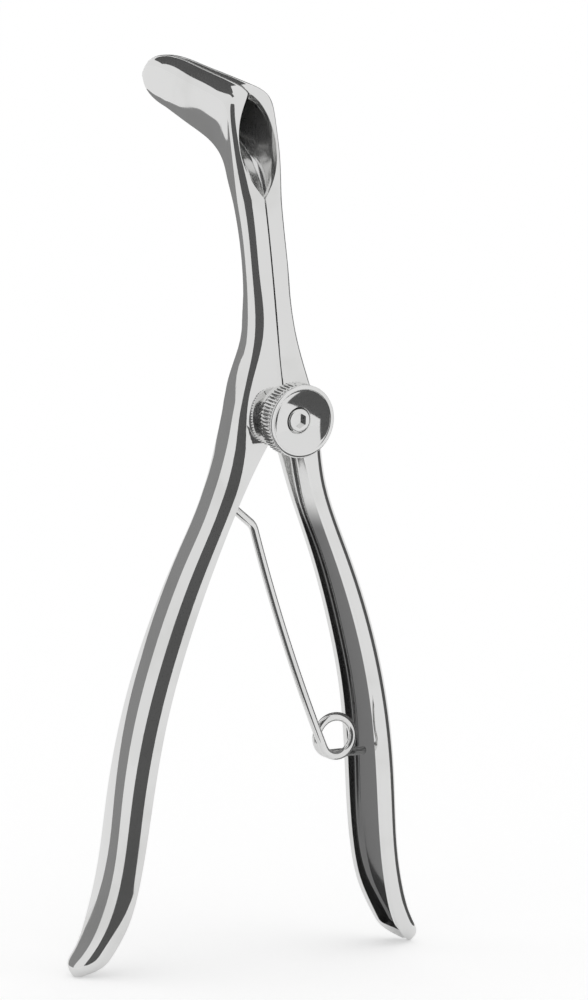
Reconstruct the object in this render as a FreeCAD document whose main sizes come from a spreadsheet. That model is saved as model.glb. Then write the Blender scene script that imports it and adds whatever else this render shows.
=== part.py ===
import FreeCAD, Part
import math
import os

import Sketcher
from FreeCAD import Placement, Rotation, Vector

# A nasal speculum of pressed steel. +Z is up through the blades, +Y is the way the blades point,
# +X is the right handle's side, and the origin is the middle of the pivot stud's flat head.
doc = FreeCAD.newDocument("nasal_speculum")
sheet = doc.addObject("Spreadsheet::Sheet", "Sizes")

sizes = {
    # the pressed levers
    "sheet_wall": 1.3,
    "front_corner": 2.6,
    "mouth_width": 7.6,
    "mouth_tail": 2.4,
    "mouth_crest": 1.2,
    "mouth_depth": 2.6,
    # the joint between them
    "joint_depth": 11.0,
    "outer_ear_radius": 5.4,
    "inner_ear_radius": 4.8,
    "ear_clearance": 0.25,
    "side_play": 0.05,
    "stud_radius": 2.0,
    "bore_clearance": 0.05,
    # the pivot stud and what it carries
    "head_radius": 4.0,
    "head_thickness": 1.5,
    "head_chamfer": 0.35,
    "washer_radius": 4.5,
    "washer_thickness": 0.7,
    "sleeve_radius": 3.0,
    "stud_reach": 3.6,
    # the clamp knob
    "knob_radius": 6.6,
    "knob_length": 4.1,
    "knob_boss_radius": 3.7,
    "knob_boss_length": 0.75,
    "knob_chamfer": 0.4,
    "knob_rim": 0.9,
    "knob_dish": 0.5,
    "knob_travel": 1.05,
    "knurl_count": 44,
    "knurl_depth": 0.28,
    # the screw that keeps the knob on the stud
    "screw_head_radius": 2.2,
    "screw_head_length": 1.1,
    "screw_radius": 1.25,
    "screw_length": 4.0,
    "screw_tip_gap": 0.5,
    "socket_flats": 2.5,
    "socket_depth": 0.8,
    "counterbore_clearance": 0.15,
    # the wire spring
    "wire_radius": 0.8,
    "coil_radius": 3.5,
    "coil_pitch": 1.8,
    "coil_out": 17.0,
    "coil_height": -61.4,
    "coil_forward": 6.6,
    "leg_angle": 24.5,
    "leg_length": 44.0,
    "leg_bow": 7.0,
    "hook_angle": 33.0,
    "hook_length": 7.0,
    "hook_bend": 3.0,
    "leg_gap": 0.15,
    "coil_steps": 15,
    "bow_steps": 3,
    "hook_steps": 2,
    "anchor_depth": 0.7,
    "anchor_clearance": 0.03,
}

# Stations along a lever, from the toe of the handle up the neck and out to the blade tip. Each
# gives how far forward of the joint's back face and how high its back edge lies, the same for
# its front edge, how far out from the middle its rims and its side lie, and the radii of its back
# corner and of its bowed web.
stations = {
    "toe_end": (8.4, -101.0, 10.4, -101.0, 34.3, 35.4, 1.0, 20.0),
    "toe": (6.8, -99.9, 12.2, -99.9, 32.5, 35.9, 2.4, 20.0),
    "heel": (5.3, -97.0, 13.4, -97.0, 29.9, 34.6, 3.0, 24.0),
    "flare": (4.0, -91.0, 14.7, -91.0, 27.3, 31.7, 3.2, 24.0),
    "grip_low": (3.4, -84.0, 15.3, -84.0, 25.7, 29.9, 3.2, 24.0),
    "grip_high": (2.3, -55.0, 14.1, -55.0, 21.7, 26.2, 3.9, 18.0),
    "shank_low": (2.0, -41.0, 13.4, -41.0, 18.0, 22.4, 4.0, 15.0),
    "shank": (2.0, -27.0, 12.4, -27.0, 12.8, 17.0, 3.9, 12.0),
    "throat": (1.6, -14.0, 11.7, -14.0, 7.3, 11.5, 3.8, 12.0),
    "joint_low": (0.2, -5.5, 11.0, -5.5, 3.7, 8.9, 3.3, 24.0),
    "joint": (-0.1, 0.0, 11.1, 0.0, 1.0, 7.6, 2.8, 24.0),
    "joint_high": (1.4, 5.5, 11.2, 5.5, 0.15, 6.6, 2.8, 24.0),
    "collar": (3.5, 14.0, 11.0, 14.0, 0.15, 4.9, 2.8, 6.0),
    "neck": (5.7, 24.0, 10.8, 24.0, 0.15, 4.3, 2.6, 12.0),
    "neck_high": (8.0, 33.3, 13.0, 32.2, 0.15, 4.3, 2.6, 12.0),
    "mouth_low": (9.9, 40.0, 14.6, 36.5, 0.15, 4.6, 2.6, 12.0),
    "mouth_high": (13.5, 51.2, 17.9, 41.9, 0.15, 4.9, 3.0, 30.0),
    "brow": (14.9, 54.9, 20.6, 43.9, 0.15, 4.8, 3.8, 60.0),
    "crown": (17.1, 56.2, 23.8, 45.2, 0.15, 4.6, 4.2, 60.0),
    "blade_root": (20.5, 56.7, 27.5, 46.1, 0.15, 4.3, 4.2, 60.0),
    "blade_end": (41.0, 57.4, 42.0, 48.9, 0.15, 2.8, 4.0, 60.0),
    "beak": (46.0, 56.6, 46.2, 50.3, 0.15, 2.2, 4.0, 60.0),
    "tip": (49.0, 55.2, 49.2, 51.7, 0.15, 1.7, 4.0, 60.0),
    "tip_end": (50.4, 54.0, 50.5, 52.9, 0.15, 1.2, 4.0, 60.0),
    # the left lever is wider round the joint, where it carries the outer ears
    "left_joint_low": (0.2, -5.5, 11.0, -5.5, 3.7, 10.3, 3.3, 12.0),
    "left_joint": (-0.1, 0.0, 11.1, 0.0, 1.0, 9.9, 2.4, 12.0),
    "left_joint_high": (1.4, 5.5, 11.2, 5.5, 0.15, 8.0, 2.2, 12.0),
}
fields = ("back", "back_height", "front", "front_height", "rim", "side", "corner", "web")
for station, values in stations.items():
    for field, value in zip(fields, values):
        sizes[f"{station}_{field}"] = value

for row, (alias, value) in enumerate(sizes.items(), start=1):
    sheet.set(f"A{row}", alias)
    sheet.set(f"B{row}", str(value))
    sheet.setAlias(f"B{row}", alias)
doc.recompute()


def size(alias):
    return float(sheet.get(alias))


# Distances behind the head's flat face, as expressions for the bound features
joint_front = "Sizes.head_thickness + Sizes.washer_thickness"
joint_back = joint_front + " + Sizes.joint_depth"
washer_back = joint_back + " + Sizes.side_play + Sizes.washer_thickness"
boss_front = washer_back + " + Sizes.side_play"
knob_front = boss_front + " + Sizes.knob_boss_length"
knob_face = knob_front + " + Sizes.knob_length"
stud_end = joint_back + " + Sizes.stud_reach"
bore_radius = "Sizes.stud_radius + Sizes.bore_clearance"
ear_pocket = "Sizes.outer_ear_radius + Sizes.ear_clearance"
pocket_depth = "2 * Sizes.sheet_wall + Sizes.side_play"

seat_y = -(size("head_thickness") + size("washer_thickness") + size("joint_depth"))
wall = size("sheet_wall")


def back_point(station):
    return Vector(0, seat_y + size(station + "_back"), size(station + "_back_height"))


def front_point(station):
    return Vector(0, seat_y + size(station + "_front"), size(station + "_front_height"))


# A D-shaped outline across a lever, `inset` inside the sheet's outer face and with its open side
# `overhang` past the rims. The sheet's outer face is round, the hollow's corners and web are flats.
def section(station, inset, overhang):
    back = back_point(station)
    front = front_point(station)
    rim = size(station + "_rim") - overhang
    side = size(station + "_side") - inset
    along = (front - back).normalize()
    out = Vector(1, 0, 0)
    start = back + along * inset
    depth = (front - back).Length - 2 * inset
    widest = min(0.46 * depth, 0.94 * (side - rim))
    back_radius = min(size(station + "_corner") - inset, widest)
    front_radius = min(size("front_corner") - inset, widest)
    web_radius = size(station + "_web") - inset
    turn = math.asin((depth - front_radius - back_radius) / (web_radius - front_radius))
    web_middle = (side - web_radius, back_radius)
    front_middle = (
        web_middle[0] + (web_radius - front_radius) * math.cos(turn),
        depth - front_radius,
    )
    back_middle = (side - back_radius, back_radius)

    # a point at an angle round an arc's middle, from straight out towards the front
    def at(middle, radius, angle):
        across = middle[0] + radius * math.cos(angle)
        deep = middle[1] + radius * math.sin(angle)
        return start + out * across + along * deep

    def swept(middle, radius, first, last):
        points = [at(middle, radius, first + (last - first) * share) for share in (0, 0.5, 1)]
        if inset:
            return [Part.LineSegment(points[0], points[1]), Part.LineSegment(points[1], points[2])]
        return [Part.Arc(*points)]

    quarter = math.pi / 2
    flange_back = at(back_middle, back_radius, -quarter)
    flange_front = at(front_middle, front_radius, quarter)
    rim_back = start + out * rim
    rim_front = start + out * rim + along * depth
    edges = [Part.LineSegment(rim_back, flange_back)]
    edges += swept(back_middle, back_radius, -quarter, 0)
    edges += swept(web_middle, web_radius, 0, turn)
    edges += swept(front_middle, front_radius, turn, quarter)
    edges += [Part.LineSegment(flange_front, rim_front), Part.LineSegment(rim_front, rim_back)]
    return Part.Wire([edge.toShape() for edge in edges])


# A loft of straight bands from one station to the next, in the left lever's own shape or the right's
def loft(name, first, last, inset, overhang, left=False):
    names = [station for station in stations if not station.startswith("left_")]
    span = names[names.index(first):names.index(last) + 1]
    if left:
        span = [f"left_{s}" if f"left_{s}" in stations else s for s in span]
    body = doc.addObject("Part::Feature", name)
    body.Shape = Part.makeLoft([section(s, inset, overhang) for s in span], True, True)
    return body


def cut(name, base, tools):
    for number, tool in enumerate(tools, start=1):
        rest = doc.addObject("Part::Cut", f"{name}_{number}")
        rest.Base = base
        rest.Tool = tool
        base = rest
    return base


def mirrored(name, source):
    image = doc.addObject("Part::Mirroring", name)
    image.Source = source
    image.Normal = Vector(1, 0, 0)
    return image


def fuse(name, pieces):
    whole = doc.addObject("Part::MultiFuse", name)
    whole.Shapes = pieces
    return whole


# A cylinder on the pivot axis, from `start` behind the head's face to `length` further back
def on_pivot(name, radius, start, length):
    post = doc.addObject("Part::Cylinder", name)
    post.Placement = Placement(Vector(0, 0, 0), Rotation(Vector(1, 0, 0), 90))
    post.setExpression("Radius", radius)
    post.setExpression("Height", length)
    post.setExpression("Placement.Base.y", f"-({start})")
    return post


# The almond mouth of the sight channel, square to the slanting face at the back of the neck
def mouth_tool(name):
    low = back_point("mouth_low")
    high = back_point("brow")
    up = (high - low).normalize()
    inward = up.cross(Vector(1, 0, 0))
    if inward.y < 0:
        inward = -inward
    foot = low - up * size("mouth_tail")
    length = (high - low).Length + size("mouth_tail") + size("mouth_crest")
    width = size("mouth_width")
    radius = (length * length + width * width) / (4 * width)
    middle = foot + up * (length / 2) - inward * size("mouth_depth")
    halves = []
    for side in (-1, 1):
        half = doc.addObject("Part::Cylinder", f"{name}_{'left' if side < 0 else 'right'}_arc")
        half.Radius = radius
        half.Height = 2 * size("mouth_depth")
        turn = Rotation(Vector(0, 0, 1), inward)
        half.Placement = Placement(middle + Vector(side * (radius - width / 2), 0, 0), turn)
        halves.append(half)
    almond = doc.addObject("Part::Common", name)
    almond.Base, almond.Tool = halves
    return almond


# The levers' channels, each pressed from one sheet and open towards the other. The left one is
# shaped on the right and then mirrored.
mouth = mouth_tool("mouth")
right_skin = loft("right_skin", "toe_end", "tip_end", 0, 0)
right_hollow = loft("right_hollow", "heel", "tip", wall, wall)
right_channel = cut("right_channel", right_skin, [right_hollow, mouth])
left_skin = loft("left_skin", "toe_end", "tip_end", 0, 0, left=True)
left_hollow = loft("left_hollow", "heel", "tip", wall, wall, left=True)
left_channel = mirrored("left_channel", cut("left_blank", left_skin, [left_hollow, mouth]))

left_ears = [
    on_pivot("left_front_ear", "Sizes.outer_ear_radius", joint_front, "Sizes.sheet_wall"),
    on_pivot(
        "left_back_ear",
        "Sizes.outer_ear_radius",
        joint_back + " - Sizes.sheet_wall",
        "Sizes.sheet_wall",
    ),
]
left_relief = [
    on_pivot("left_front_seat", ear_pocket, joint_front + " - Sizes.sheet_wall", "Sizes.sheet_wall"),
    on_pivot("left_back_seat", ear_pocket, joint_back, "Sizes.sheet_wall"),
    on_pivot(
        "left_joint_pocket",
        "Sizes.inner_ear_radius + Sizes.ear_clearance",
        joint_front + " + Sizes.sheet_wall",
        "Sizes.joint_depth - 2 * Sizes.sheet_wall",
    ),
    on_pivot(
        "left_bore",
        bore_radius,
        joint_front + " - Sizes.sheet_wall",
        "Sizes.joint_depth + 2 * Sizes.sheet_wall",
    ),
]
left_eared = fuse("left_eared", [left_channel] + left_ears)
left_lever = cut("left_drilled", left_eared, [fuse("left_relief", left_relief)])


# One inner ear of the right lever: a disc, and the shoulder that steps it in from the flange
def inner_ear(name, start):
    disc = on_pivot(name + "_disc", "Sizes.inner_ear_radius", start, "2 * Sizes.sheet_wall")
    shoulder = doc.addObject("Part::Box", name + "_block")
    shoulder.Placement = Placement(Vector(0, 0, 0), Rotation(Vector(1, 0, 0), 90))
    shoulder.setExpression("Length", "Sizes.joint_side - Sizes.sheet_wall / 2")
    shoulder.setExpression("Width", "2 * Sizes.inner_ear_radius")
    shoulder.setExpression("Height", "2 * Sizes.sheet_wall")
    shoulder.setExpression("Placement.Base.y", f"-({start})")
    shoulder.setExpression("Placement.Base.z", "-Sizes.inner_ear_radius")
    inside = doc.addObject("Part::Common", name + "_shoulder")
    inside.Base = right_skin
    inside.Tool = shoulder
    return [disc, inside]


right_ears = inner_ear("right_front_ear", joint_front + " + Sizes.side_play")
right_ears += inner_ear("right_back_ear", joint_back + " - 2 * Sizes.sheet_wall - Sizes.side_play")
right_relief = [
    on_pivot("right_front_pocket", ear_pocket, joint_front + " - Sizes.sheet_wall", pocket_depth),
    on_pivot(
        "right_back_pocket",
        ear_pocket,
        joint_back + " - Sizes.sheet_wall - Sizes.side_play",
        pocket_depth,
    ),
    on_pivot("right_bore", bore_radius, joint_front, "Sizes.joint_depth"),
]
right_eared = fuse("right_eared", [right_channel] + right_ears)
right_drilled = cut("right_drilled", right_eared, [fuse("right_relief", right_relief)])
doc.recompute()


def new_body(name):
    body = doc.addObject("PartDesign::Body", name)
    body.Label = name
    # a body's own +Y runs back along the pivot, so depths behind the head's face are positive
    body.Placement = Placement(Vector(0, 0, 0), Rotation(Vector(1, 0, 0), 180))
    return body


def origin_part(body, role):
    return next(item for item in body.Origin.OriginFeatures if item.Role == role)


# A closed outline of straight lines, each corner bound to a pair of expressions
def outline(body, role, name, corners):
    sketch = body.newObject("Sketcher::SketchObject", name)
    sketch.AttachmentSupport = [(origin_part(body, role), "")]
    sketch.MapMode = "FlatFace"
    places = [
        Vector(float(sketch.evalExpression(across)), float(sketch.evalExpression(deep)), 0)
        for across, deep in corners
    ]
    for number, place in enumerate(places):
        sketch.addGeometry(Part.LineSegment(place, places[(number + 1) % len(places)]))
    for number in range(len(places)):
        following = (number + 1) % len(places)
        sketch.addConstraint(Sketcher.Constraint("Coincident", number, 2, following, 1))
    for number, (across, deep) in enumerate(corners):
        for kind, text, value, axis in (
            ("DistanceX", across, places[number].x, -2),
            ("DistanceY", deep, places[number].y, -1),
        ):
            if text == "0":
                sketch.addConstraint(Sketcher.Constraint("PointOnObject", number, 1, axis))
            else:
                index = sketch.addConstraint(Sketcher.Constraint(kind, -1, 1, number, 1, value))
                sketch.setExpression(f"Constraints[{index}]", text)
    return sketch


def turned(name, corners):
    body = new_body(name)
    sketch = outline(body, "XY_Plane", name + "_outline", corners)
    turning = body.newObject("PartDesign::Revolution", name + "_turned")
    turning.Profile = sketch
    turning.ReferenceAxis = (sketch, ["V_Axis"])
    turning.Angle = 360
    doc.recompute()
    return body


def ring(name, radius, start, length):
    end = f"{start} + {length}"
    return turned(name, [(bore_radius, start), (radius, start), (radius, end), (bore_radius, end)])


thread_end = stud_end + " - Sizes.screw_length - Sizes.screw_tip_gap"
hole_radius = "Sizes.screw_radius + Sizes.bore_clearance"
pivot_stud = turned("pivot_stud", [
    ("0", "0"),
    ("Sizes.head_radius - Sizes.head_chamfer", "0"),
    ("Sizes.head_radius", "Sizes.head_chamfer"),
    ("Sizes.head_radius", "Sizes.head_thickness"),
    ("Sizes.stud_radius", "Sizes.head_thickness"),
    ("Sizes.stud_radius", stud_end),
    (hole_radius, stud_end),
    (hole_radius, thread_end),
    ("0", thread_end),
])
head_washer = ring("head_washer", "Sizes.washer_radius", "Sizes.head_thickness", "Sizes.washer_thickness")
inner_stack = "Sizes.joint_depth - 4 * Sizes.sheet_wall - 4 * Sizes.side_play"
spacer_sleeve = ring(
    "spacer_sleeve",
    "Sizes.sleeve_radius",
    joint_front + " + 2 * Sizes.sheet_wall + 2 * Sizes.side_play",
    inner_stack,
)
clamp_washer = ring(
    "clamp_washer", "Sizes.washer_radius", joint_back + " + Sizes.side_play", "Sizes.washer_thickness"
)

counterbore = "Sizes.screw_head_radius + Sizes.counterbore_clearance"
shoulder = stud_end + " - Sizes.knob_travel - Sizes.side_play"
dish_floor = knob_face + " - Sizes.knob_dish"
rim_inside = "Sizes.knob_radius - Sizes.knob_rim"
clamp_knob = turned("clamp_knob", [
    (bore_radius, boss_front),
    ("Sizes.knob_boss_radius", boss_front),
    ("Sizes.knob_boss_radius", knob_front),
    ("Sizes.knob_radius - Sizes.knob_chamfer", knob_front),
    ("Sizes.knob_radius", knob_front + " + Sizes.knob_chamfer"),
    ("Sizes.knob_radius", knob_face + " - Sizes.knob_chamfer / 2"),
    ("Sizes.knob_radius - Sizes.knob_chamfer / 2", knob_face),
    (rim_inside, knob_face),
    (rim_inside + " - Sizes.knob_dish", dish_floor),
    (counterbore + " + Sizes.knob_chamfer", dish_floor),
    (counterbore, dish_floor + " - Sizes.knob_chamfer"),
    (counterbore, shoulder),
    (bore_radius, shoulder),
])
groove = outline(clamp_knob, "XZ_Plane", "knurl_groove", [
    ("Sizes.knob_radius - Sizes.knurl_depth", "0"),
    ("Sizes.knob_radius + Sizes.knurl_depth", "Sizes.knurl_depth"),
    ("Sizes.knob_radius + Sizes.knurl_depth", "-Sizes.knurl_depth"),
])
first_groove = clamp_knob.newObject("PartDesign::Pocket", "first_groove")
first_groove.Profile = groove
first_groove.Type = 1
first_groove.Midplane = True
doc.recompute()
knurl = clamp_knob.newObject("PartDesign::PolarPattern", "knurl")
knurl.Originals = [first_groove]
knurl.Axis = (origin_part(clamp_knob, "Y_Axis"), [""])
knurl.Angle = 360
knurl.setExpression("Occurrences", "Sizes.knurl_count")
clamp_knob.Tip = knurl
doc.recompute()

screw_blank = fuse("stop_screw_blank", [
    on_pivot("stop_screw_head", "Sizes.screw_head_radius", stud_end, "Sizes.screw_head_length"),
    on_pivot(
        "stop_screw_shank",
        "Sizes.screw_radius",
        stud_end + " - Sizes.screw_length",
        "Sizes.screw_length",
    ),
])
socket = doc.addObject("Part::Prism", "stop_screw_socket")
socket.Polygon = 6
socket.Placement = Placement(Vector(0, 0, 0), Rotation(Vector(1, 0, 0), 90))
socket.setExpression("Circumradius", "Sizes.socket_flats / (2 * cos(30 deg))")
socket.setExpression("Height", "Sizes.socket_depth * 2")
socket.setExpression(
    "Placement.Base.y", f"-({stud_end} + Sizes.screw_head_length - Sizes.socket_depth)"
)
stop_screw = cut("stop_screw_cut", screw_blank, [socket])

# The spring's coil lies flat between the handles. From the long leg the wire runs down its left
# side and once round, stepping forward, then out along the bottom to the right handle.
coil_middle = Vector(size("coil_out"), seat_y + size("coil_forward"), size("coil_height"))
coil_radius = size("coil_radius")
wire_radius = size("wire_radius")
forward = Vector(0, 1, 0)


# The way along the spring's plane at an angle to the left of straight up
def tilted(degrees):
    return Vector(-math.sin(math.radians(degrees)), 0, math.cos(math.radians(degrees)))


# Stops along a bend of the wire round `middle`, from `start` along `way`, each a place and a way
def bend(middle, start, way, degrees, steps, rise=0):
    out = start - middle
    stops = []
    for step in range(steps + 1):
        share = step / steps
        angle = math.radians(degrees * share)
        across = out * math.cos(angle) + way * (out.Length * math.sin(angle))
        turned_way = way * math.cos(angle) - out * (math.sin(angle) / out.Length)
        stops.append((middle + across + forward * (rise * share), turned_way))
    return stops


# A length of wire through its stops, with a flat end at each end
def wire(name, stops):
    rings = []
    for place, way in stops:
        ring_line = Part.Circle(place, way, wire_radius)
        ring_line.XAxis = forward
        rings.append(Part.Wire([ring_line.toShape()]))
    body = doc.addObject("Part::Feature", name)
    body.Shape = Part.makeLoft(rings, True, True)
    return body


leg_way = tilted(size("leg_angle"))
leg_side = tilted(size("leg_angle") + 90)
coil_start = coil_middle + leg_side * coil_radius
coil_sweep = 450 - size("leg_angle")
coil_rise = size("coil_pitch") * coil_sweep / 360
coil_stops = bend(
    coil_middle, coil_start, leg_way * -1, coil_sweep, int(size("coil_steps")), coil_rise
)
coil_end = coil_stops[-1][0]

# The wire's end runs along the bottom into a blind hole in the web of the right handle
outward = Vector(1, 0, 0)
anchor_line = Part.LineSegment(coil_end, coil_end + outward * size("shank_low_side") * 2).toShape()
web_run = min(anchor_line.common(right_drilled.Shape).Edges, key=lambda run: run.BoundBox.XMin)
anchor_length = web_run.BoundBox.XMin + size("anchor_depth") - coil_end.x
spring_coil = wire("spring_coil", coil_stops + [(coil_end + outward * anchor_length, outward)])
anchor_hole = doc.addObject("Part::Cylinder", "anchor_hole")
anchor_hole.Radius = wire_radius + size("anchor_clearance")
anchor_hole.Height = anchor_length
anchor_hole.Placement = Placement(coil_end, Rotation(Vector(0, 0, 1), outward))
right_lever = cut("right_lever", right_drilled, [anchor_hole])

# The long leg runs up from the coil, bowed, and its hooked end reaches into the left channel
leg_foot = coil_start + leg_way * size("leg_gap")
bow = size("leg_bow")
bow_middle = leg_foot - leg_side * (size("leg_length") / math.radians(bow))
leg_stops = bend(bow_middle, leg_foot, leg_way, bow, int(size("bow_steps")))
leg_top, top_way = leg_stops.pop()
hook_middle = leg_top + tilted(size("leg_angle") - bow + 90) * size("hook_bend")
leg_stops += bend(hook_middle, leg_top, top_way, size("hook_angle"), int(size("hook_steps")))
hook_foot, hook_way = leg_stops[-1]
spring_leg = wire("spring_leg", leg_stops + [(hook_foot + hook_way * size("hook_length"), hook_way)])
doc.recompute()

nodes = {
    "left_lever": left_lever,
    "right_lever": right_lever,
    "pivot_stud": pivot_stud,
    "head_washer": head_washer,
    "spacer_sleeve": spacer_sleeve,
    "clamp_washer": clamp_washer,
    "clamp_knob": clamp_knob,
    "stop_screw": stop_screw,
    "spring_coil": spring_coil,
    "spring_leg": spring_leg,
}
for item in doc.Objects:
    if "Invalid" in item.State or "Error" in item.State:
        raise RuntimeError(f"{item.Name} did not build: {item.State}")
for name, item in nodes.items():
    item.Label = name
    shape = item.Shape
    if shape.isNull() or not shape.isValid() or len(shape.Solids) != 1:
        raise RuntimeError(f"{name} is not one sound solid")
    print(f"{name}: {shape.Volume:.2f} mm3, {len(shape.Faces)} faces")

os.makedirs("parts", exist_ok=True)
for name, item in nodes.items():
    item.Shape.exportStep(f"parts/{name}.step")
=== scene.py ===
import math

import bmesh
import bpy
import numpy
from mathutils import Matrix, Vector


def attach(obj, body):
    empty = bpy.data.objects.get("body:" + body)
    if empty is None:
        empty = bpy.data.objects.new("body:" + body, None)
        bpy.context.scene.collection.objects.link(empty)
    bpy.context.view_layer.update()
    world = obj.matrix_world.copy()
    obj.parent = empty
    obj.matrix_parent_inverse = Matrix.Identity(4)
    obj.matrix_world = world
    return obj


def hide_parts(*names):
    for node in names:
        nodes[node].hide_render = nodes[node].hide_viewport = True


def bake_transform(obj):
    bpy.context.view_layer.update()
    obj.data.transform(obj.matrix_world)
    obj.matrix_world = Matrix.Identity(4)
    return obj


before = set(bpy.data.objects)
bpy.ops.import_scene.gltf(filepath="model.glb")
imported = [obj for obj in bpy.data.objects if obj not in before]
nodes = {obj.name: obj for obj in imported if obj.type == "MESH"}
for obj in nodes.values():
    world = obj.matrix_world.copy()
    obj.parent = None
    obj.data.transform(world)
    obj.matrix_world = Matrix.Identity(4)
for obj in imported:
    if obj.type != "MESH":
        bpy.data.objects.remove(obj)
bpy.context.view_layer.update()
mm = 0.001
sharpAngle = math.radians(35)
print("frame loaded")

# The camera stands behind the instrument and to its left, a little above it, with a long lens
camera = {
    "turn": -31.78,                # degrees round from straight behind
    "rise": 11.71,                 # degrees above level
    "roll": 1.65,
    "distance": 3.0,
    "aim": (0.0, -0.0132, 0.0),    # a point on the pivot's axis
    "aimPixel": (286.1, 416.0),
    "pixelsPerMetre": 5620.0,
    "picture": (588, 1000),
    "sensorHeight": 24.0,
}


def placeCamera(size):
    turn, rise, roll = (math.radians(size[key]) for key in ("turn", "rise", "roll"))
    back = Vector((math.sin(turn) * math.cos(rise), -math.cos(turn) * math.cos(rise), math.sin(rise)))
    level = Vector((math.cos(turn), math.sin(turn), 0))
    up = back.cross(level)
    right = level * math.cos(roll) + up * math.sin(roll)
    up = back.cross(right)
    width, height = size["picture"]
    column, row = size["aimPixel"]
    shiftX = (column - width / 2) / size["pixelsPerMetre"]
    shiftY = (row - height / 2) / size["pixelsPerMetre"]
    data = bpy.data.cameras.new("camera")
    data.sensor_fit = "VERTICAL"
    data.sensor_height = size["sensorHeight"]
    data.lens = size["pixelsPerMetre"] * size["distance"] / height * size["sensorHeight"]
    data.clip_end = 20
    viewer = bpy.data.objects.new("camera", data)
    spot = Vector(size["aim"]) + back * size["distance"] - right * shiftX + up * shiftY
    viewer.matrix_world = Matrix.Translation(spot) @ Matrix((right, up, back)).transposed().to_4x4()
    bpy.context.scene.collection.objects.link(viewer)
    bpy.context.scene.camera = viewer


placeCamera(camera)
print("camera placed")


# Shader maths: a wrapped socket that adds and multiplies by making Math nodes
class Wire:
    def __init__(self, tree, socket):
        self.tree = tree
        self.socket = socket

    def sum(self, kind, first, second):
        return self.tree.node("ShaderNodeMath", {"operation": kind}, {0: first, 1: second})[0]

    def __add__(self, other):
        return self.sum("ADD", self, other)

    def __radd__(self, other):
        return self.sum("ADD", other, self)

    def __mul__(self, other):
        return self.sum("MULTIPLY", self, other)

    def __rmul__(self, other):
        return self.sum("MULTIPLY", other, self)


class Tree:
    def __init__(self, material):
        material.use_nodes = True
        self.nodes = material.node_tree.nodes
        self.links = material.node_tree.links
        self.nodes.clear()

    # One node: its type, its settings, then the values or links of its sockets
    def node(self, kind, settings=None, sockets=None):
        made = self.nodes.new(kind)
        for key, value in (settings or {}).items():
            setattr(made, key, value)
        for key, value in (sockets or {}).items():
            if isinstance(value, Wire):
                self.links.new(value.socket, made.inputs[key])
            else:
                made.inputs[key].default_value = value
        return [Wire(self, socket) for socket in made.outputs]

    def between(self, value, low, high):
        return self.node(
            "ShaderNodeMapRange",
            {"interpolation_type": "SMOOTHSTEP"},
            {0: value, 1: low, 2: high},
        )[0]

    def mix(self, share, first, second):
        return self.node("ShaderNodeMix", {"data_type": "RGBA"}, {0: share, 6: first, 7: second})[2]


def grey(level):
    return (level, level, level, 1)


# Polished steel: soft smears and hairline scratches vary its shine, and smears dull its colour; where a
# painted shade tone is given, painted shade darkens the colour low down in the handles' channels
steel = {
    "tone": (0.86, 0.86, 0.855, 1),
    "dullTone": (0.80, 0.80, 0.79, 1),
    "metal": 0.92,
    "shine": 0.035,                       # the levers' own roughness
    "channelShine": 0.10,                 # roughness added inside the levers
    "turnedShine": 0.03,
    "wireShine": 0.02,
    "paintedShadeTone": (0.20, 0.20, 0.20, 1),   # painted shade in the handles' channels, below the joint
    "paintedShadeFrom": (0.017, 0.024),          # metres below the middle of the joint, over which the painted shade fades in
    "smearShine": 0.06,
    "smearScale": 90.0,
    "smearDetail": 3.0,
    "smearRange": (0.45, 0.75),           # the part of the noise that shows as a smear
    "scratchScale": 900.0,
    "scratchDetail": 2.0,
    "scratchRange": (0.62, 0.70),
    "scratchStretch": (1.0, 1.0, 0.06),
    "scratchShine": 0.05,
    "scratchDepth": 0.006,
    "scratchHeight": 0.0001,
}


def polishedSteel(name, size, extraRoughness=0.0, paintedShadeTone=None):
    material = bpy.data.materials.new(name)
    tree = Tree(material)
    place = tree.node("ShaderNodeTexCoord")[3]
    smears = tree.node(
        "ShaderNodeTexNoise", {},
        {"Vector": place, "Scale": size["smearScale"], "Detail": size["smearDetail"]},
    )[0]
    along = tree.node("ShaderNodeMapping", {}, {"Vector": place, "Scale": size["scratchStretch"]})[0]
    lines = tree.node(
        "ShaderNodeTexNoise", {},
        {"Vector": along, "Scale": size["scratchScale"], "Detail": size["scratchDetail"]},
    )[0]
    scratches = tree.between(lines, *size["scratchRange"])
    dull = tree.between(smears, *size["smearRange"])
    roughness = dull * size["smearShine"] + scratches * size["scratchShine"]
    roughness = roughness + (size["shine"] + extraRoughness)
    colour = tree.mix(dull, size["tone"], size["dullTone"])
    # painted shade: lower down the piece the colour darkens towards the painted shade tone, standing in
    # for shade inside the handles' channels
    if paintedShadeTone:
        height = tree.node("ShaderNodeSeparateXYZ", {}, {"Vector": place})[2]
        deep = tree.between(height * -1, *size["paintedShadeFrom"])
        colour = tree.mix(deep, colour, paintedShadeTone)
    bump = tree.node(
        "ShaderNodeBump", {},
        {"Strength": size["scratchDepth"], "Distance": size["scratchHeight"], "Height": scratches},
    )[0]
    shader = tree.node(
        "ShaderNodeBsdfPrincipled", {},
        {"Base Color": colour, "Metallic": size["metal"], "Roughness": roughness, "Normal": bump},
    )[0]
    tree.node("ShaderNodeOutputMaterial", {}, {"Surface": shader})
    return material


leverSteel = polishedSteel("leverSteel", steel)
# the levers' inner faces: rougher steel, with painted shade in the handles' channels below the joint
channelSteelPaintedShade = polishedSteel("channelSteelPaintedShade", steel, steel["channelShine"], steel["paintedShadeTone"])
turnedSteel = polishedSteel("turnedSteel", steel, steel["turnedShine"])
wireSteel = polishedSteel("wireSteel", steel, steel["wireShine"])
print("steel mixed")


def smooth(piece):
    piece.data.shade_smooth()
    piece.data.set_sharp_from_angle(angle=sharpAngle)


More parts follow.
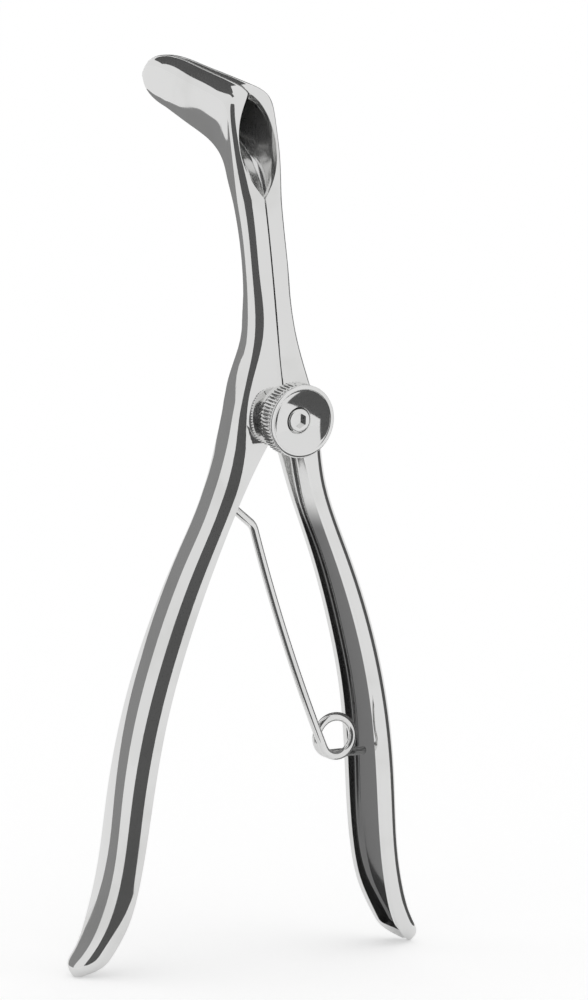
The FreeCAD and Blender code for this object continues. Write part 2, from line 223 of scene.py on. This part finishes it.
def link(piece, *materials):
    bpy.context.scene.collection.objects.link(piece)
    piece.data.materials.clear()
    for material in materials:
        piece.data.materials.append(material)
    smooth(piece)
    return piece


# Puts a piece on its body, in place of the solid of the same slot
def mount(piece, body, node):
    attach(piece, body)
    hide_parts(node)


# Freezes a piece's modifiers into its mesh
def settle(piece):
    graph = bpy.context.evaluated_depsgraph_get()
    finished = bpy.data.meshes.new_from_object(piece.evaluated_get(graph))
    piece.modifiers.clear()
    piece.data = finished


def pieceFrom(name, mesh):
    data = bpy.data.meshes.new(name)
    mesh.to_mesh(data)
    mesh.free()
    return bpy.data.objects.new(name, data)


# The pressed levers: sections from the toe of the handle to the blade's tip. Each is, in
# millimetres, how far forward and how high the back edge lies, the same for the front edge, how
# far out the rims and the side lie, and the radii of the back corner and of the bowed web.
lever = {
    "jointBack": -13.2,
    "wall": 1.3,
    "frontCorner": 2.6,
    "cornerShare": 0.46,           # the widest a corner may be, of the section's depth
    "cornerReach": 0.94,           # and of the height of its web over the front rim
    "steepestWeb": 0.95,           # sine of the most that the web may turn from its middle
    "ringsPerStation": 6,
    "pointsPerCorner": 14,
    "pointsAcross": 6,
    "rimRounding": 0.32,
    "rimSteps": 3,
    "rimAngle": 50.0,              # only edges sharper than this are rounded
    "mouthWidth": 7.6,
    "closedMouth": 0.02,
    "mouthAbove": 30.0,            # the opening starts above this height
    "mouthTail": 2.4,
    "mouthCrest": 1.2,
    "mouthFrom": "mouthLow",
    "mouthTo": "brow",
    "stations": {
        "toeEnd": (8.4, -101.0, 10.4, -101.0, 34.3, 35.4, 1.0, 20.0),
        "toe": (6.8, -99.9, 12.2, -99.9, 32.5, 35.9, 2.4, 20.0),
        "heel": (5.3, -97.0, 13.4, -97.0, 29.9, 34.6, 3.0, 24.0),
        "flare": (4.0, -91.0, 14.7, -91.0, 27.3, 31.7, 3.2, 24.0),
        "gripLow": (3.4, -84.0, 15.3, -84.0, 25.7, 29.9, 3.2, 24.0),
        "grip": (2.8, -70.0, 15.0, -70.0, 23.9, 28.4, 3.5, 21.0),
        "gripHigh": (2.3, -55.0, 14.1, -55.0, 21.7, 26.2, 3.9, 18.0),
        "shankLow": (2.0, -41.0, 13.4, -41.0, 18.0, 22.4, 4.0, 15.0),
        "shank": (2.0, -27.0, 12.4, -27.0, 12.8, 17.0, 3.9, 12.0),
        "throat": (1.6, -14.0, 11.7, -14.0, 7.3, 11.5, 3.8, 12.0),
        "jointLow": (0.2, -5.5, 11.0, -5.5, 3.7, 8.9, 3.3, 24.0),
        "joint": (-0.1, 0.0, 11.1, 0.0, 1.0, 7.6, 2.8, 24.0),
        "jointHigh": (1.4, 5.5, 11.2, 5.5, 0.15, 6.6, 2.8, 24.0),
        "collar": (3.5, 14.0, 11.0, 14.0, 0.15, 4.9, 2.8, 6.0),
        "neck": (5.7, 24.0, 10.8, 24.0, 0.15, 4.3, 2.6, 12.0),
        "neckHigh": (8.0, 33.3, 13.0, 32.2, 0.15, 4.3, 2.6, 12.0),
        "mouthLow": (9.9, 40.0, 14.6, 36.5, 0.15, 4.6, 2.3, 12.0),
        "mouth": (11.8, 46.0, 16.1, 39.5, 0.15, 4.9, 1.8, 20.0),
        "mouthHigh": (13.5, 51.2, 17.9, 41.9, 0.15, 4.9, 1.7, 30.0),
        "brow": (14.9, 54.9, 20.6, 43.9, 0.15, 4.8, 1.9, 40.0),
        "crown": (17.1, 56.2, 23.8, 45.2, 0.15, 4.6, 2.2, 40.0),
        "bladeRoot": (20.5, 56.7, 27.5, 46.1, 0.15, 4.3, 2.4, 40.0),
        "blade": (27.0, 57.2, 32.0, 46.9, 0.15, 3.9, 2.4, 40.0),
        "bladeMid": (34.0, 57.7, 37.0, 47.7, 0.15, 3.4, 2.4, 40.0),
        "bladeEnd": (41.0, 58.1, 42.0, 48.5, 0.15, 2.9, 2.3, 40.0),
        "beak": (45.7, 57.6, 46.1, 49.3, 0.15, 2.4, 2.2, 40.0),
        "tip": (48.8, 56.0, 49.1, 51.0, 0.15, 1.9, 2.0, 40.0),
        "tipEnd": (50.4, 54.2, 50.5, 52.6, 0.15, 1.3, 2.0, 40.0),
    },
    # the left lever is wider round the joint, where it carries the outer ears
    "leftStations": {
        "jointLow": (0.2, -5.5, 11.0, -5.5, 3.7, 10.3, 3.3, 12.0),
        "joint": (-0.1, 0.0, 11.1, 0.0, 1.0, 9.9, 2.4, 12.0),
        "jointHigh": (1.4, 5.5, 11.2, 5.5, 0.15, 8.0, 2.2, 12.0),
    },
}


# A smooth line through values at their knots, read at other places
def smoothThrough(knots, values, places):
    gaps = numpy.diff(knots)
    slopes = numpy.diff(values, axis=0) / gaps[:, None]
    balance = numpy.eye(len(knots))
    turns = numpy.zeros_like(values)
    for index in range(1, len(knots) - 1):
        before, after = gaps[index - 1], gaps[index]
        balance[index, index - 1:index + 2] = before, 2 * (before + after), after
        turns[index] = 6 * (slopes[index] - slopes[index - 1])
    bends = numpy.linalg.solve(balance, turns)
    span = numpy.clip(numpy.searchsorted(knots, places, side="right") - 1, 0, len(gaps) - 1)
    gap = gaps[span][:, None]
    ahead = (knots[span + 1] - places)[:, None] / gap
    behind = 1 - ahead
    curve = (ahead ** 3 - ahead) * bends[span] + (behind ** 3 - behind) * bends[span + 1]
    return ahead * values[span] + behind * values[span + 1] + curve * gap ** 2 / 6


def leverRows(size):
    names = list(size["stations"])
    values = numpy.array([size["stations"][name] for name in names])
    middles = (values[:, 0:2] + values[:, 2:4]) / 2
    steps = numpy.linalg.norm(
        numpy.diff(numpy.column_stack([middles, values[:, 5]]), axis=0), axis=1
    )
    knots = numpy.concatenate([[0], numpy.cumsum(steps)])
    count = size["ringsPerStation"]
    places = numpy.concatenate([
        numpy.linspace(near, far, count, endpoint=False) for near, far in zip(knots, knots[1:])
    ] + [knots[-1:]])
    rows = smoothThrough(knots, values, places)
    low, high = (values[names.index(size[key])] for key in ("mouthFrom", "mouthTo"))
    foot = numpy.array(low[0:2])
    up = numpy.array(high[0:2]) - foot
    rise = numpy.linalg.norm(up)
    up = up / rise
    length = rise + size["mouthTail"] + size["mouthCrest"]
    half = size["mouthWidth"] / 2
    radius = (length ** 2 / 4 + half ** 2) / (2 * half)
    for row in rows:
        along = (row[0:2] - foot) @ up + size["mouthTail"]
        if row[1] > size["mouthAbove"] and 0 < along < length:
            opening = math.sqrt(radius ** 2 - (along - length / 2) ** 2) - radius + half
            row[4] = max(row[4], opening)
    return rows


# The points across a lever's outer face, from the back rim round the bowed web to the front rim
def leverSection(row, rimFront, size, side):
    back = Vector((0, row[0] + size["jointBack"], row[1]))
    front = Vector((0, row[2] + size["jointBack"], row[3]))
    rimBack, web, corner, webRadius = row[4:8]
    along = (front - back).normalized()
    depth = (front - back).length
    widest = min(size["cornerShare"] * depth, size["cornerReach"] * (web - rimFront))
    backRadius = min(corner, widest)
    frontRadius = min(size["frontCorner"], widest)
    bow = (depth - frontRadius - backRadius) / (webRadius - frontRadius)
    turn = math.asin(min(size["steepestWeb"], bow))
    frontMiddle = web - webRadius + (webRadius - frontRadius) * math.cos(turn)
    count = size["pointsPerCorner"]

    def at(across, deep):
        return (Vector((side * across, 0, 0)) + back + along * deep) * mm

    start = 0.0
    flat = web - backRadius - rimBack
    if flat < 0:
        start = math.asin(min(1.0, -flat / backRadius))
        flat = 0.0
    arc = backRadius * (math.pi / 2 - start)
    points = []
    for step in range(count + 1):
        run = (flat + arc) * step / count
        if run < flat:
            points.append(at(rimBack + run, 0))
        else:
            angle = start + (run - flat) / backRadius
            points.append(at(
                web - backRadius + backRadius * math.sin(angle), backRadius * (1 - math.cos(angle))
            ))
    across = size["pointsAcross"]
    for step in range(1, across):
        angle = turn * step / across
        points.append(at(
            web - webRadius + webRadius * math.cos(angle), backRadius + webRadius * math.sin(angle)
        ))
    flat = frontMiddle - rimFront
    arc = frontRadius * (math.pi / 2 - turn)
    for step in range(count + 1):
        run = (flat + arc) * (1 - step / count)
        if run < flat:
            points.append(at(rimFront + run, depth))
        else:
            angle = (run - flat) / frontRadius
            points.append(at(
                frontMiddle + frontRadius * math.sin(angle), depth - frontRadius * (1 - math.cos(angle))
            ))
    return points


# Draws the first section, then extrudes it from row to row up the lever
def leverShell(name, side, size):
    if side < 0:
        size = {**size, "stations": {**size["stations"], **size["leftStations"]}}
    plainRims = leverRows({**size, "mouthWidth": size["closedMouth"]})[:, 4]
    rows = leverRows(size)
    mesh = bmesh.new()
    loop = [mesh.verts.new(point) for point in leverSection(rows[0], plainRims[0], size, side)]
    edges = [mesh.edges.new(pair) for pair in zip(loop, loop[1:])]
    for row, rimFront in zip(rows[1:], plainRims[1:]):
        made = bmesh.ops.extrude_edge_only(mesh, edges=edges)["geom"]
        fresh = {item for item in made if isinstance(item, bmesh.types.BMVert)}
        edges = [
            item for item in made
            if isinstance(item, bmesh.types.BMEdge) and fresh.issuperset(item.verts)
        ]
        following = []
        for old, point in zip(loop, leverSection(row, rimFront, size, side)):
            new = next(edge.other_vert(old) for edge in old.link_edges if edge.other_vert(old) in fresh)
            new.co = point
            following.append(new)
        loop = following
    bmesh.ops.recalc_face_normals(mesh, faces=mesh.faces)
    # on an open shell the outer side is the one that faces away from the middle of the channel
    web = max(mesh.faces, key=lambda face: abs(face.calc_center_median().x))
    if web.normal.x * side < 0:
        bmesh.ops.reverse_faces(mesh, faces=mesh.faces)
    piece = pieceFrom(name, mesh)
    thickness = piece.modifiers.new("sheet", "SOLIDIFY")
    thickness.thickness = size["wall"] * mm
    thickness.offset = -1
    thickness.use_even_offset = True
    thickness.material_offset = 1
    rounding = piece.modifiers.new("rims", "BEVEL")
    rounding.width = size["rimRounding"] * mm
    rounding.segments = size["rimSteps"]
    rounding.limit_method = "ANGLE"
    rounding.angle_limit = math.radians(size["rimAngle"])
    return piece


leftLever = link(leverShell("leftLeverShell", -1, lever), leverSteel, channelSteelPaintedShade)
rightLever = link(leverShell("rightLeverShell", 1, lever), leverSteel, channelSteelPaintedShade)
settle(leftLever)
settle(rightLever)
print("levers pressed")

# The ears: each lever's pair of discs at the joint, and the pockets they turn in
joint = {
    "front": -2.2,
    "back": lever["jointBack"],
    "outerEar": 5.4,
    "innerEar": 4.8,
    "gussetFoot": 7.8,             # how far an inner ear's web reaches to the side, below
    "gussetTop": 5.8,              # and above
    "clearance": 0.25,
    "play": 0.05,
    "facets": 96,
}


# A drum on the pivot's axis between two depths
def drum(name, radius, near, far, facets):
    mesh = bmesh.new()
    bmesh.ops.create_cone(
        mesh, cap_ends=True, segments=facets, radius1=radius * mm, radius2=radius * mm,
        depth=abs(far - near) * mm,
    )
    bmesh.ops.rotate(mesh, verts=mesh.verts, matrix=Matrix.Rotation(math.radians(90), 3, "X"))
    bmesh.ops.translate(mesh, verts=mesh.verts, vec=Vector((0, (near + far) / 2 * mm, 0)))
    return pieceFrom(name, mesh)


# The web that joins an inner ear to the right lever
def gusset(name, near, far, size):
    mesh = bmesh.new()
    half = size["innerEar"]
    outline = ((0, -half), (size["gussetFoot"], -half), (size["gussetTop"], half), (0, half))
    verts = [mesh.verts.new((x * mm, near * mm, z * mm)) for x, z in outline]
    face = mesh.faces.new(verts)
    made = bmesh.ops.extrude_face_region(mesh, geom=[face])["geom"]
    moved = [item for item in made if isinstance(item, bmesh.types.BMVert)]
    bmesh.ops.translate(mesh, verts=moved, vec=Vector((0, (far - near) * mm, 0)))
    bmesh.ops.recalc_face_normals(mesh, faces=mesh.faces)
    return pieceFrom(name, mesh)


def combine(piece, tools, operation):
    for tool in tools:
        bpy.context.scene.collection.objects.link(tool)
        step = piece.modifiers.new(tool.name, "BOOLEAN")
        step.object = tool
        step.operation = operation
        step.solver = "EXACT"
        settle(piece)
        bpy.data.objects.remove(tool)


def fitEars(size):
    wall, play, facets = lever["wall"], size["play"], size["facets"]
    front, back = size["front"], size["back"]
    pocket = size["outerEar"] + size["clearance"]
    combine(leftLever, [
        drum("leftFrontSeat", pocket, front, front + wall, facets),
        drum("leftBackSeat", pocket, back, back - wall, facets),
        drum("leftPocket", size["innerEar"] + size["clearance"], front - wall, back + wall, facets),
    ], "DIFFERENCE")
    combine(leftLever, [
        drum("leftFrontEar", size["outerEar"], front, front - wall, facets),
        drum("leftBackEar", size["outerEar"], back, back + wall, facets),
    ], "UNION")
    combine(rightLever, [
        drum("rightFrontPocket", pocket, front + wall, front - wall - play, facets),
        drum("rightBackPocket", pocket, back - wall, back + wall + play, facets),
    ], "DIFFERENCE")
    inner = wall + play
    combine(rightLever, [
        drum("rightFrontEar", size["innerEar"], front - inner, front - 2 * wall, facets),
        gusset("rightFrontGusset", front - inner, front - 2 * wall, size),
        drum("rightBackEar", size["innerEar"], back + inner, back + 2 * wall, facets),
        gusset("rightBackGusset", back + inner, back + 2 * wall, size),
    ], "UNION")


fitEars(joint)
for piece, body, node in (
    (leftLever, "left_half", "left_lever"),
    (rightLever, "right_half", "right_lever"),
):
    smooth(piece)
    mount(piece, body, node)
print("ears fitted")

# One length of spring wire: anchored in the right handle, once round the coil, and up the leg
spring = {
    "wire": 0.8,
    "coilMiddle": (17.0, -6.6, -61.4),
    "coilRadius": 3.5,
    "pitch": 1.8,
    "legAngle": 24.5,
    "legLength": 44.0,
    "bow": 7.0,
    "hook": 33.0,
    "hookBend": 3.0,
    "hookLength": 7.0,
    "anchorLength": 7.0,
    "coilSteps": 72,
    "legSteps": 24,
    "hookSteps": 10,
    "facets": 28,
    "endRound": 0.25,
    "endSteps": 3,
    "sharp": 60.0,                 # degrees: only the cut ends keep sharp edges
    "blend": (0.0045, 0.014),      # metres up the leg from the coil's middle
}


def springStops(size):
    def tilted(degrees):
        return Vector((-math.sin(math.radians(degrees)), 0, math.cos(math.radians(degrees))))

    def bend(middle, start, way, degrees, steps, rise=0.0):
        out = start - middle
        stops = []
        for step in range(steps + 1):
            share = step / steps
            angle = math.radians(degrees * share)
            place = middle + out * math.cos(angle) + way * (out.length * math.sin(angle))
            turned = way * math.cos(angle) - out * (math.sin(angle) / out.length)
            stops.append((place + Vector((0, rise * share, 0)), turned))
        return stops

    lean = size["legAngle"]
    legWay = tilted(lean)
    legSide = tilted(lean + 90)
    middle = Vector(size["coilMiddle"])
    coilStart = middle + legSide * size["coilRadius"]
    sweep = 450 - lean
    coil = bend(middle, coilStart, -legWay, sweep, size["coilSteps"], size["pitch"] * sweep / 360)
    end = coil[-1][0] + Vector((size["anchorLength"], 0, 0))
    coil.append((end, Vector((1, 0, 0))))
    bowMiddle = coilStart - legSide * (size["legLength"] / math.radians(size["bow"]))
    leg = bend(bowMiddle, coilStart, legWay, size["bow"], size["legSteps"])
    top, topWay = leg.pop()
    hookMiddle = top + tilted(lean - size["bow"] + 90) * size["hookBend"]
    leg += bend(hookMiddle, top, topWay, size["hook"], size["hookSteps"])
    foot, hookWay = leg[-1]
    leg.append((foot + hookWay * size["hookLength"], hookWay))
    down = [(place, -way) for place, way in reversed(leg[1:])]
    return down + coil


# A ring of the wire's round, extruded from stop to stop, with both ends closed and rounded off
def springWire(name, size):
    mesh = bmesh.new()
    stops = springStops(size)
    side = Vector((0, 1, 0))
    place, way = stops[0]

    def upright(place, way):
        return Matrix.Translation(place * mm) @ Matrix(
            (side, way.cross(side), way)
        ).transposed().to_4x4()

    made = bmesh.ops.create_circle(
        mesh, cap_ends=False, segments=size["facets"], radius=size["wire"] * mm,
        matrix=upright(place, way),
    )
    loop = made["verts"]
    first = list({edge for vert in loop for edge in vert.link_edges})
    edges = first
    last = upright(place, way)
    for place, way in stops[1:]:
        grown = bmesh.ops.extrude_edge_only(mesh, edges=edges)["geom"]
        loop = [item for item in grown if isinstance(item, bmesh.types.BMVert)]
        fresh = set(loop)
        edges = [
            item for item in grown
            if isinstance(item, bmesh.types.BMEdge) and fresh.issuperset(item.verts)
        ]
        now = upright(place, way)
        bmesh.ops.transform(mesh, matrix=now @ last.inverted(), verts=loop)
        last = now
    for rim in (first, edges):
        cap = bmesh.ops.edgeloop_fill(mesh, edges=rim)["faces"]
        bmesh.ops.bevel(
            mesh, geom=list(cap[0].edges), offset=size["endRound"] * mm, offset_type="OFFSET",
            segments=size["endSteps"], profile=0.5, affect="EDGES", material=-1,
        )
    bmesh.ops.recalc_face_normals(mesh, faces=mesh.faces)
    return pieceFrom(name, mesh)


springPiece = link(springWire("springWire", spring), wireSteel)
springPiece.data.set_sharp_from_angle(angle=math.radians(spring["sharp"]))
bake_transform(springPiece)
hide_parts("spring_coil", "spring_leg")
print("spring wound")

# The clamp knob: a turned disc with a dished face, a straight knurl round its edge and a boss
# behind, and the socket screw that holds it. Lengths are millimetres back from the lever's seat.
knob = {
    "boss": 0.8,
    "front": 1.55,
    "face": 5.65,
    "bore": 2.05,
    "bossRadius": 3.7,
    "bossChamfer": 0.15,
    "bossFillet": 0.12,
    "radius": 6.6,
    "bevel": 0.4,
    "knurlRows": (0.75, 0.45),     # rings below the face, where the knurl runs out
    "knurlFrom": 0.2,
    "knurlTo": 0.3,
    "rim": 0.85,
    "rimRound": 0.22,
    "rimSteps": 4,
    "dish": 1.35,
    "dishInset": 0.05,
    "dishSteps": 14,
    "well": 2.35,
    "wellLip": 0.1,
    "wellChamfer": 0.12,
    "shoulder": 2.3,
    "flutes": 62,
    "fluteDepth": 0.24,
    "land": 0.3,                   # how much of each flute's pitch is left flat
    "turns": 6,                    # steps of the turning across each flute
}
screw = {
    "top": 4.7,
    "foot": 3.5,
    "radius": 2.15,
    "edge": 0.3,
    "edgeSteps": 5,
    "socket": 2.5,                 # across the flats
    "socketLand": 0.12,
    "socketDepth": 0.9,
    "facets": 96,
}


# A turned piece: its outline is drawn from the axis out and spun round the pivot
def turnedPiece(outline, steps, seat):
    mesh = bmesh.new()
    verts = [mesh.verts.new((across * mm, (seat - deep) * mm, 0)) for across, deep in outline]
    edges = [mesh.edges.new(pair) for pair in zip(verts, verts[1:])]
    bmesh.ops.spin(
        mesh, geom=verts + edges, cent=(0, 0, 0), axis=(0, 1, 0), dvec=(0, 0, 0),
        angle=math.tau, steps=steps, use_merge=True,
    )
    bmesh.ops.remove_doubles(mesh, verts=mesh.verts, dist=0.000001)
    bmesh.ops.recalc_face_normals(mesh, faces=mesh.faces)
    return mesh


def rounded(middle, radius, first, last, steps):
    angles = [math.radians(first + (last - first) * step / steps) for step in range(steps + 1)]
    return [(middle[0] + radius * math.cos(a), middle[1] + radius * math.sin(a)) for a in angles]


def clampKnob(size):
    face, edge = size["face"], size["radius"]
    boss, front = size["boss"], size["front"]
    bossEdge, bore = size["bossRadius"], size["bore"]
    rimRound, rimSteps = size["rimRound"], size["rimSteps"]
    inside = edge - size["rim"]
    outline = [(bore, boss), (bossEdge - size["bossChamfer"], boss)]
    outline += [(bossEdge, boss + size["bossChamfer"]), (bossEdge, front - size["bossFillet"])]
    outline += [(bossEdge + size["bossFillet"], front)]
    outline += [(edge - size["bevel"], front), (edge, front + size["bevel"])]
    outline += [(edge, face - below) for below in size["knurlRows"]]
    outline += rounded((edge - rimRound, face - rimRound), rimRound, 0, 90, rimSteps)
    outline += rounded((inside + rimRound, face - rimRound), rimRound, 90, 150, rimSteps)
    # the dish is part of a ball of this radius
    curve = (inside ** 2 + size["dish"] ** 2) / (2 * size["dish"])
    widest = inside - size["dishInset"]
    for step in range(size["dishSteps"] + 1):
        across = widest - (widest - size["well"] - size["wellLip"]) * step / size["dishSteps"]
        fall = math.sqrt(curve ** 2 - across ** 2) - (curve - size["dish"])
        outline.append((across, face - rimRound * 0.5 - fall))
    outline += [(size["well"], outline[-1][1] - size["wellChamfer"]), (size["well"], size["shoulder"])]
    outline += [(bore, size["shoulder"]), (bore, boss)]
    mesh = turnedPiece(outline, size["flutes"] * size["turns"], lever["jointBack"])
    for vert in mesh.verts:
        across = math.hypot(vert.co.x, vert.co.z)
        deep = lever["jointBack"] - vert.co.y / mm
        fluted = front + size["knurlFrom"] < deep < face - size["knurlTo"]
        if fluted and across > (edge - size["dishInset"]) * mm:
            turn = math.atan2(vert.co.z, vert.co.x) / math.tau * size["flutes"]
            dip = max(0.0, abs((turn % 1.0) - 0.5) * 2 - size["land"]) / (1 - size["land"])
            shrink = 1 - size["fluteDepth"] * mm * dip / across
            vert.co.x *= shrink
            vert.co.z *= shrink
    return pieceFrom("clampKnobTurned", mesh)


def socketScrew(size):
    seat = lever["jointBack"]
    top, edge = size["top"], size["radius"]
    corner = size["socket"] / math.sqrt(3)
    outline = [(0, size["foot"]), (edge, size["foot"])]
    outline += rounded((edge - size["edge"], top - size["edge"]), size["edge"], 0, 90, size["edgeSteps"])
    outline += [(corner + size["socketLand"], top), (0, top)]
    piece = pieceFrom("socketScrewHead", turnedPiece(outline, size["facets"], seat))
    floor, lid = seat - top + size["socketDepth"], seat - top - size["socketDepth"]
    return piece, drum("socket", corner, lid, floor, 6)


mount(link(clampKnob(knob), turnedSteel), "knob", "clamp_knob")
screwPiece, socketTool = socketScrew(screw)
link(screwPiece, turnedSteel)
combine(screwPiece, [socketTool], "DIFFERENCE")
screwPiece.data.set_sharp_from_angle(angle=sharpAngle)
mount(screwPiece, "left_half", "stop_screw")
print("knob turned")

for name in ("pivot_stud", "head_washer", "spacer_sleeve", "clamp_washer"):
    data = nodes[name].data
    data.materials.clear()
    data.materials.append(turnedSteel)

# The studio: an even white room, and grey cards that only the polished metal sees. Azimuths are
# degrees round from behind towards the left handle. A standing card lies on the floor from its foot
# out and then stands up; the others are cut to an outline and hang upright or level.
studio = {
    "floorHeight": -0.1012,
    "floorSize": 4.0,
    "floorTone": 0.80,
    "floorGlow": 0.36,             # what the camera sees on top of the floor's own tone
    "floorGlossGlow": 0.18,        # and what the metal sees
    "worldTone": 0.80,
    "cardGap": 0.0005,             # between the floor and the cards that lie on it
    "standing": {
        "lensCard": {
            "from": 5.0, "to": 68.0, "distance": 0.5, "foot": 0.045, "top": 0.6, "tone": 0.045,
        },
        "sideStrip": {
            "from": -106.0, "to": -76.0, "distance": 0.4, "foot": 0.06, "top": 0.0, "tone": 0.045,
        },
    },
    # outlines across and up in metres
    "upright": {
        "topCard": {
            "azimuth": 188.0,
            "distance": 0.5,
            "tone": 0.045,
            "outline": ((-0.235, 0.190), (0.235, 0.190), (0.235, 1.000), (-0.235, 1.000)),
        },
        "frontCard": {
            "azimuth": 160.0,
            "distance": 0.12,
            "tone": 0.22,
            "outline": (
                (-0.084, -0.101), (-0.031, -0.101), (-0.015, -0.070), (0.003, -0.045),
                (0.050, -0.025), (0.120, -0.035), (0.200, -0.030), (0.200, 0.012), (0.036, 0.019),
                (0.012, 0.022), (-0.010, 0.025), (-0.036, 0.034), (-0.060, 0.036),
            ),
        },
        "neckCard": {
            "azimuth": -134.0,
            "distance": 0.2,
            "tone": 0.045,
            "outline": ((-0.098, -0.010), (0.098, -0.010), (0.098, 0.090), (-0.098, 0.090)),
        },
    },
    # outlines in X and Y in metres
    "level": {
        "underCard": {
            "height": -0.012,
            "tone": 0.045,
            "outline": (
                (0.0205, -0.0268), (-0.0065, -0.0885), (-0.0120, -0.0885), (-0.0010, -0.0500),
                (0.0015, -0.0268),
            ),
        },
        "ceilingCard": {
            "height": 0.6,
            "tone": 0.045,
            "outline": ((-0.080, -0.010), (0.100, -0.010), (0.100, 0.300), (-0.080, 0.300)),
        },
    },
}


def litFloor(size):
    mesh = bmesh.new()
    bmesh.ops.create_grid(mesh, x_segments=1, y_segments=1, size=size["floorSize"])
    bmesh.ops.translate(mesh, verts=mesh.verts, vec=Vector((0, 0, size["floorHeight"])))
    floor = pieceFrom("floor", mesh)
    material = bpy.data.materials.new("paleFloor")
    tree = Tree(material)
    rays = tree.node("ShaderNodeLightPath")
    matt = tree.node("ShaderNodeBsdfDiffuse", {}, {"Color": grey(size["floorTone"])})[0]
    seen, mirrored = (
        tree.node("ShaderNodeEmission", {}, {"Color": grey(size[key]), "Strength": 1.0})[0]
        for key in ("floorGlow", "floorGlossGlow")
    )
    glow = tree.node("ShaderNodeMixShader", {}, {0: rays[3], 2: mirrored})[0]
    glow = tree.node("ShaderNodeMixShader", {}, {0: rays[0], 1: glow, 2: seen})[0]
    both = tree.node("ShaderNodeAddShader", {}, {0: matt, 1: glow})[0]
    tree.node("ShaderNodeOutputMaterial", {}, {"Surface": both})
    bpy.context.scene.collection.objects.link(floor)
    floor.data.materials.append(material)


def cardMaterial(name, tone):
    material = bpy.data.materials.new(name)
    tree = Tree(material)
    glow = tree.node("ShaderNodeEmission", {}, {"Color": grey(tone), "Strength": 1.0})[0]
    tree.node("ShaderNodeOutputMaterial", {}, {"Surface": glow})
    return material


def standCard(name, mesh, tone):
    card = pieceFrom(name, mesh)
    card.data.materials.append(cardMaterial(name, tone))
    bpy.context.scene.collection.objects.link(card)
    card.visible_camera = False
    card.visible_diffuse = False
    card.visible_shadow = False


def compass(azimuth):
    turn = math.radians(azimuth)
    return Vector((-math.sin(turn), -math.cos(turn), 0))


def standingCard(name, size, floorHeight, gap):
    middle = (size["from"] + size["to"]) / 2
    outward = compass(middle)
    half = size["distance"] * math.tan(math.radians(size["to"] - size["from"]) / 2)
    bottom = floorHeight + gap
    height = size["top"] - bottom
    mesh = bmesh.new()
    bmesh.ops.create_grid(mesh, x_segments=1, y_segments=1, size=1.0)
    upright = Matrix((compass(middle + 90) * half, Vector((0, 0, 1)) * (height / 2), outward)).transposed()
    bmesh.ops.transform(mesh, matrix=upright.to_4x4(), verts=mesh.verts)
    place = outward * size["distance"] + Vector((0, 0, bottom + height / 2))
    bmesh.ops.translate(mesh, verts=mesh.verts, vec=place)
    lowest = [edge for edge in mesh.edges if all(vert.co.z < bottom + gap for vert in edge.verts)]
    grown = bmesh.ops.extrude_edge_only(mesh, edges=lowest)["geom"]
    reach = 1 - size["foot"] / size["distance"]
    for vert in grown:
        if isinstance(vert, bmesh.types.BMVert):
            vert.co.x -= vert.co.x * reach
            vert.co.y -= vert.co.y * reach
    standCard(name, mesh, size["tone"])


def cutCard(name, corners, tone):
    mesh = bmesh.new()
    mesh.faces.new([mesh.verts.new(corner) for corner in corners])
    standCard(name, mesh, tone)


def uprightCard(name, size):
    outward = compass(size["azimuth"]) * size["distance"]
    level = compass(size["azimuth"] + 90)
    corners = [outward + level * across + Vector((0, 0, up)) for across, up in size["outline"]]
    cutCard(name, corners, size["tone"])


def levelCard(name, size):
    cutCard(name, [Vector((*corner, size["height"])) for corner in size["outline"]], size["tone"])


def lightRoom(size):
    world = bpy.data.worlds.new("room")
    bpy.context.scene.world = world
    tree = Tree(world)
    seen = tree.node("ShaderNodeLightPath")[0]
    plain = tree.node("ShaderNodeBackground", {}, {"Color": grey(size["worldTone"]), "Strength": 1.0})[0]
    white = tree.node("ShaderNodeBackground", {}, {"Color": grey(1.0), "Strength": 1.0})[0]
    both = tree.node("ShaderNodeMixShader", {}, {0: seen, 1: plain, 2: white})[0]
    tree.node("ShaderNodeOutputWorld", {}, {"Surface": both})


for name, card in studio["standing"].items():
    standingCard(name, card, studio["floorHeight"], studio["cardGap"])
for name, card in studio["upright"].items():
    uprightCard(name, card)
for name, card in studio["level"].items():
    levelCard(name, card)
litFloor(studio)
lightRoom(studio)
bpy.context.scene.view_settings.view_transform = "Standard"
print("studio lit")
